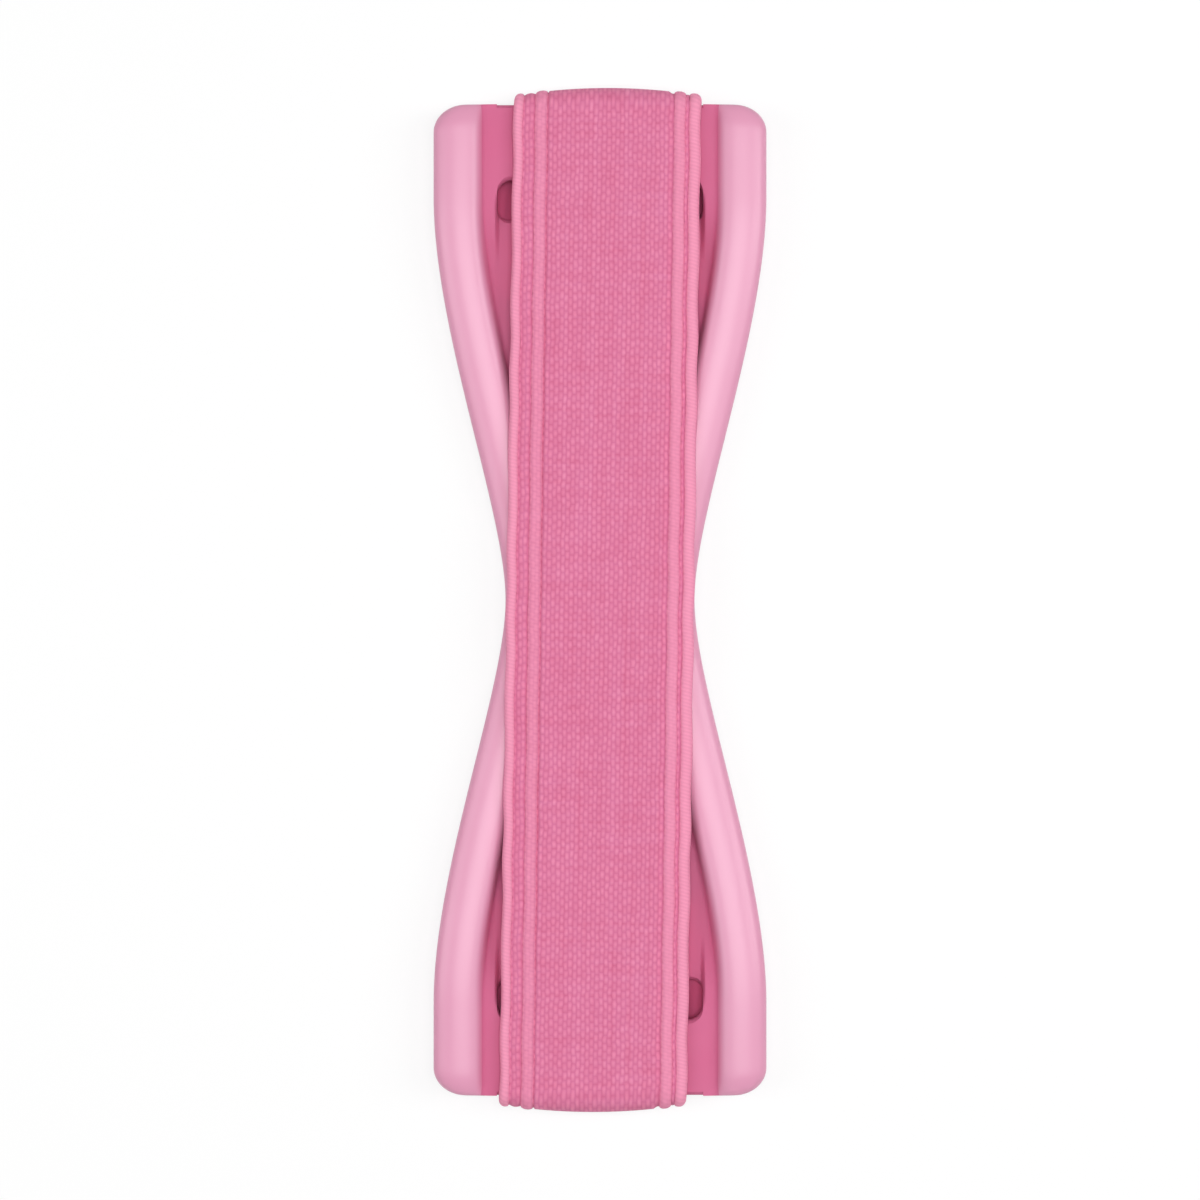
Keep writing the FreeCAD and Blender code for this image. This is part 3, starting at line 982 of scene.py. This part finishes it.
@dataclass
class ElasticStrap:
    """The woven tape: over the plate, round each bar, up through each slot and back under itself."""

    width: float = 16.0
    thickness: float = 0.9
    # Route
    main_run: float = 3.45
    main_step: float = 0.25
    low_run: float = 1.45
    bar_outer: float = 41.75
    bar_inner: float = 36.35
    bar_middle: float = 2.45
    bar_bend: float = 1.0
    lip_centre: float = 32.21
    lip_middle: float = 1.475
    lip_bend: float = 1.025
    tail_end: float = 25.71
    # Lie of the tape: crowned tips, a little askew, with wavy edges
    tip_crown: float = 0.65
    head_shift: float = 0.62
    foot_shift: float = -0.58
    edge_wave: float = 0.05
    wave_rate: float = 0.9
    wave_drift: float = 0.7
    drift_rate: float = 0.31
    # Section
    left_cords: tuple[Cord, ...] = (Cord(0.15, 1.05, 0.5), Cord(1.0, 0.85, 1.0))
    right_cords: tuple[Cord, ...] = (Cord(0.5, 1.0, 0.7), Cord(0.3, 1.0, 1.0))
    groove_depth: float = 0.24
    body_step: float = 0.1
    edge_drop: float = 0.28
    edge_cover: float = 0.3
    under_radius: float = 0.25
    sharp_degrees: float = 60.0
    grid: TapeGrid = TapeGrid()
    finish: WovenElastic = WovenElastic()

    def half_route(self) -> list[TapePoint]:
        """Follows the tape from the middle of the grip to the end of the head tail.

        Returns:
            Points in order, in millimetres.
        """
        rise = self.bar_middle - self.lip_middle
        run = self.bar_inner - self.lip_centre
        slope = math.asin((self.bar_bend + self.lip_bend) / math.hypot(run, rise)) - math.atan2(rise, run)
        outer_bend = (self.bar_outer, self.bar_middle, self.bar_bend)
        inner_bend = (self.bar_inner, self.bar_middle, self.bar_bend)
        lip_bend = (self.lip_centre, self.lip_middle, self.lip_bend)

        def bend(y: float, z: float, radius: float, turn: float) -> tuple[float, float, float, float]:
            """Point on a bend, and the way out from the bend's centre.

            Args:
                y: Y of the centre.
                z: Z of the centre.
                radius: Distance of the tape's middle line from the centre.
                turn: Angle from straight up.

            Returns:
                The point's Y and Z, and the way out as Y and Z.
            """
            out_y, out_z = math.sin(turn), math.cos(turn)
            return y + radius * out_y, z + radius * out_z, out_y, out_z

        steps = round(self.bar_outer / self.main_step)
        points = [(y, self.main_run, 0.0, 1.0) for y in spread(0, self.bar_outer, steps)]
        points += [bend(*outer_bend, turn) for turn in spread(0, math.pi, self.grid.bar_outside)]
        for y in spread(self.bar_outer, self.bar_inner, self.grid.under_bar):
            points.append((y, self.low_run, 0.0, -1.0))
        for turn in spread(math.pi, math.pi + slope, self.grid.bar_inside):
            points.append(bend(*inner_bend, turn))
        leave = bend(*inner_bend, math.pi + slope)
        meet = bend(*lip_bend, slope)
        for share in spread(0, 1, self.grid.through_slot):
            points.append((*Vector(leave[:2]).lerp(Vector(meet[:2]), share), *leave[2:]))
        for turn in spread(slope, 0, self.grid.over_lip):
            y, z, out_y, out_z = bend(*lip_bend, turn)
            points.append((y, z, -out_y, -out_z))
        tail_height = self.lip_middle + self.lip_bend
        for y in [*spread(self.lip_centre, self.tail_end, self.grid.tail), self.tail_end]:
            points.append((y, tail_height, 0.0, -1.0))
        route = [TapePoint(0.0, *points[0])]
        for last, point in zip(points, points[1:]):
            route.append(TapePoint(route[-1].distance + math.dist(last[:2], point[:2]), *point))
        return route

    def route(self) -> list[TapePoint]:
        """Follows the whole tape.

        Returns:
            Points from the foot tail to the head tail.
        """
        head = self.half_route()
        foot = [replace(p, distance=-p.distance, y=-p.y, out_y=-p.out_y) for p in reversed(head[1:])]
        return foot + head

    def half_profile(self, cords: Sequence[Cord]) -> list[tuple[float, float, float]]:
        """Draws half of the tape's section, from the middle of its outer face to that of its inner face.

        Args:
            cords: The cords of this edge, the outermost last.

        Returns:
            Points as distance across, height from the middle layer, and the share that is cord yarn.
        """
        half = self.width / 2
        top = self.thickness / 2
        body = top - self.body_step
        sink = self.groove_depth - self.body_step
        across = half - sum(cord.gap + cord.width for cord in cords)
        points = [(x, body, 0.0) for x in spread(0, across, self.grid.body)]
        for cord in cords:
            # The body dips into its groove, and the weave between two cords swells up
            for share in spread(0, 1, self.grid.gap):
                swell = min(1.0, cord.gap) * math.sin(math.pi * share)
                depth = ease(share, 0, 1) + swell if cord is cords[0] else 1 - swell
                points.append((across + cord.gap * share, body - sink * depth, 0.0))
            across += cord.gap
            for turn in spread(0, math.pi, self.grid.cord):
                outer_fall = cord is cords[-1] and turn > QUARTER_TURN
                drop = self.groove_depth + (self.edge_drop if outer_fall else 0.0)
                x = across + cord.width / 2 * (1 - math.cos(turn))
                points.append((x, top - drop * (1 - math.sin(turn)), cord.cover * math.sqrt(math.sin(turn))))
            across += cord.width
        under = self.under_radius
        points.append((half, top - self.edge_drop - self.groove_depth, self.edge_cover))
        for turn in spread(0, QUARTER_TURN, self.grid.under_edge):
            points.append((half - under + under * math.cos(turn), under - top - under * math.sin(turn), 0.0))
        points += [(x, -top, 0.0) for x in spread(half - under, 0, self.grid.underside)]
        return [*points, (0.0, -top, 0.0)]

    def place(self, point: TapePoint, across: float, height: float) -> Vector:
        """Sets one point of the section on the route.

        Args:
            point: Where on the middle line.
            across: Distance from the middle of the tape's width.
            height: Height from the middle layer, towards the outer face.

        Returns:
            The place in metres.
        """
        rim = (across / (self.width / 2)) ** 2
        round_tip = abs(point.out_y) if abs(point.y) > self.bar_outer else 0.0
        crown = math.copysign(self.tip_crown * (1 - rim) * round_tip, point.y)
        y = point.y + point.out_y * height + crown
        z = point.z + point.out_z * height
        share = (y / self.bar_outer + 1) / 2
        shift = self.foot_shift + (self.head_shift - self.foot_shift) * share
        drift = self.wave_drift * math.sin(point.distance * self.drift_rate)
        wave = self.edge_wave * rim * math.sin(point.distance * self.wave_rate + drift)
        return Vector((across + shift + wave, y, z)) * MM

    def build(self) -> Object:
        """Builds the tape and dresses it.

        Returns:
            The tape's object, which stands for its CAD node.
        """
        left = self.half_profile(self.left_cords)
        profile = self.half_profile(self.right_cords)[::-1] + [(-x, z, cord) for x, z, cord in left[1:]]
        girth = [0.0]
        for last, point in zip(profile, profile[1:]):
            girth.append(girth[-1] + math.dist(last[:2], point[:2]))
        route = self.route()
        rows = [[self.place(point, x, z) for x, z, _ in profile] for point in route]

        def mark(mesh: BMesh, places: list[tuple[int, int]]) -> None:
            """Lays the cloth's own map over the grid and marks the selvedge cords.

            Args:
                mesh: The grid.
                places: Column and row of each vertex.
            """
            cloth = mesh.loops.layers.uv.new(CLOTH)
            cord = mesh.verts.layers.float.new(CORD)
            for vert in mesh.verts:
                vert[cord] = profile[places[vert.index][0]][2]
            for face in mesh.faces:
                for loop in face.loops:
                    column, row = places[loop.vert.index]
                    loop[cloth].uv = (girth[column] * MM, route[row].distance * MM)

        strap = new_piece("woven_strap", skin(rows, mark))
        soften(strap, self.sharp_degrees)
        strap.data.materials.append(self.finish.material())
        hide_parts("elastic_strap")
        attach(strap, "root")
        return strap


@dataclass
class AdhesivePad:
    """The die-cut foam pad on the back of the plate, a little inside the plate's outline."""

    inset: float = 0.8
    thickness: float = 0.6
    corner_radius: float = 2.1
    pinch: float = 0.05
    edge_rows: tuple[float, ...] = (0.0, 0.06, 0.2, 0.35, 0.5, 0.65, 0.8, 0.94, 1.0)
    flank_points: int = 40
    side_points: int = 4
    corner_points: int = 10
    end_points: int = 8
    sharp_degrees: float = 40.0
    finish: FoamTape = FoamTape()

    def outline(self, plate: RailPlate) -> list[tuple[float, float]]:
        """Draws the pad's outline from the plate's.

        Args:
            plate: The plate that the pad is cut for.

        Returns:
            Points as X and Y, the first repeated as the last.
        """
        end = plate.length / 2 - self.inset
        wide = plate.end_width / 2 - self.inset
        radius = self.corner_radius
        quarter = [plate.flank(share, self.inset) for share in spread(0, 1, self.flank_points)]
        quarter += [(wide, y) for y in spread(plate.shoulder, end - radius, self.side_points)]
        for turn in spread(0, QUARTER_TURN, self.corner_points):
            quarter.append((wide - radius + radius * math.cos(turn), end - radius + radius * math.sin(turn)))
        quarter += [(x, end) for x in spread(wide - radius, 0, self.end_points)]
        quarter.append((0.0, end))
        upper = quarter + [(-x, y) for x, y in reversed(quarter[:-1])]
        lower = [(x, -y) for x, y in reversed(upper[1:-1])]
        return upper + lower + upper[:1]

    def build(self, plate: RailPlate) -> Object:
        """Builds the pad, its cut edge slightly hollow, and dresses it.

        Args:
            plate: The plate that the pad is cut for.

        Returns:
            The pad's object, which stands for its CAD node.
        """
        outline = self.outline(plate)
        rows = []
        for share in self.edge_rows:
            hollow = self.pinch * math.sin(math.pi * share)
            shrink_x = 1 - hollow / (plate.end_width / 2)
            shrink_y = 1 - hollow / (plate.length / 2)
            z = self.thickness * share
            rows.append([Vector((x * shrink_x, y * shrink_y, z)) * MM for x, y in outline])
        pad = new_piece("foam_pad", skin(rows))
        soften(pad, self.sharp_degrees)
        pad.data.materials.append(self.finish.material())
        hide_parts("adhesive_pad")
        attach(pad, "root")
        return pad


@dataclass(frozen=True)
class SoftBox:
    """A soft box: where it hangs, the width and length of its face, and its power."""

    name: str
    place: tuple[float, float, float]
    size: tuple[float, float]
    watts: float


@dataclass
class Studio:
    """White paper, soft light from above and a camera straight over the grip."""

    paper_size: float = 4000.0
    paper_gap: float = 0.02
    soft_boxes: tuple[SoftBox, ...] = (
        SoftBox("overhead", (25, 0, 450), (180, 260), 1.12),
        SoftBox("right", (330, 40, 330), (160, 310), 0.9),
        SoftBox("left", (-330, 0, 330), (160, 310), 0.66),
    )
    ambient: float = 0.1
    lens: float = 100.0
    sensor: float = 36.0
    frame_height: float = 102.0
    grip_height: float = 4.0
    finish: StudioPaper = StudioPaper()

    def build_paper(self) -> None:
        """Lays the paper under the grip."""
        mesh = bmesh.new()
        bmesh.ops.create_grid(mesh, x_segments=2, y_segments=2, size=self.paper_size / 2 * MM)
        bmesh.ops.translate(mesh, verts=mesh.verts, vec=Vector((0, 0, -self.paper_gap * MM)))
        paper = new_piece("paper", mesh)
        paper.data.materials.append(self.finish.material())

    def build_lamp(self, box: SoftBox) -> None:
        """Hangs one soft box that looks at the grip, its length along the grip.

        Args:
            box: The soft box.
        """
        lamp = bpy.data.lights.new(box.name, "AREA")
        lamp.shape = "RECTANGLE"
        lamp.size, lamp.size_y = (side * MM for side in box.size)
        lamp.energy = box.watts
        holder = bpy.data.objects.new(box.name, lamp)
        holder.location = Vector(box.place) * MM
        holder.rotation_euler = (-holder.location).to_track_quat("-Z", "Y").to_euler()
        bpy.context.scene.collection.objects.link(holder)

    def build_world(self) -> None:
        """Fills the room with even light, and with white where the camera or a reflection sees it."""
        world = bpy.data.worlds.new("studio")
        bpy.context.scene.world = world
        world.use_nodes = True
        world.node_tree.nodes.clear()
        node = partial(add_node, world.node_tree)
        strength = node("Mix", {"Factor": looked_at(node), 2: self.ambient, 3: 1.0}, data_type="FLOAT")
        room = node("Background", {"Color": WHITE, "Strength": strength})
        node("OutputWorld", {"Surface": room})

    def build_camera(self) -> None:
        """Sets the camera straight above the grip, with +Y up in the picture."""
        camera = bpy.data.cameras.new("camera")
        camera.lens = self.lens
        camera.sensor_width = self.sensor
        camera.sensor_fit = "HORIZONTAL"
        distance = self.frame_height * self.lens / self.sensor + self.grip_height
        holder = bpy.data.objects.new("camera", camera)
        holder.location = Vector((0, 0, distance)) * MM
        bpy.context.scene.collection.objects.link(holder)
        bpy.context.scene.camera = holder

    def build(self) -> None:
        """Builds paper, lamps, room light and camera."""
        self.build_paper()
        for box in self.soft_boxes:
            self.build_lamp(box)
        self.build_world()
        self.build_camera()
        bpy.context.scene.view_settings.view_transform = "Standard"


def main() -> None:
    """Builds the grip and its studio, and reports each piece."""
    logging.basicConfig(level=logging.INFO, format="%(name)s: %(message)s")
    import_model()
    Studio().build()
    plate = RailPlate()
    pieces = [plate.build(), ElasticStrap().build(), AdhesivePad().build(plate)]
    for piece in pieces:
        LOG.info("%s: %d faces", piece.name, len(piece.data.polygons))


if __name__ == "__main__":
    main()
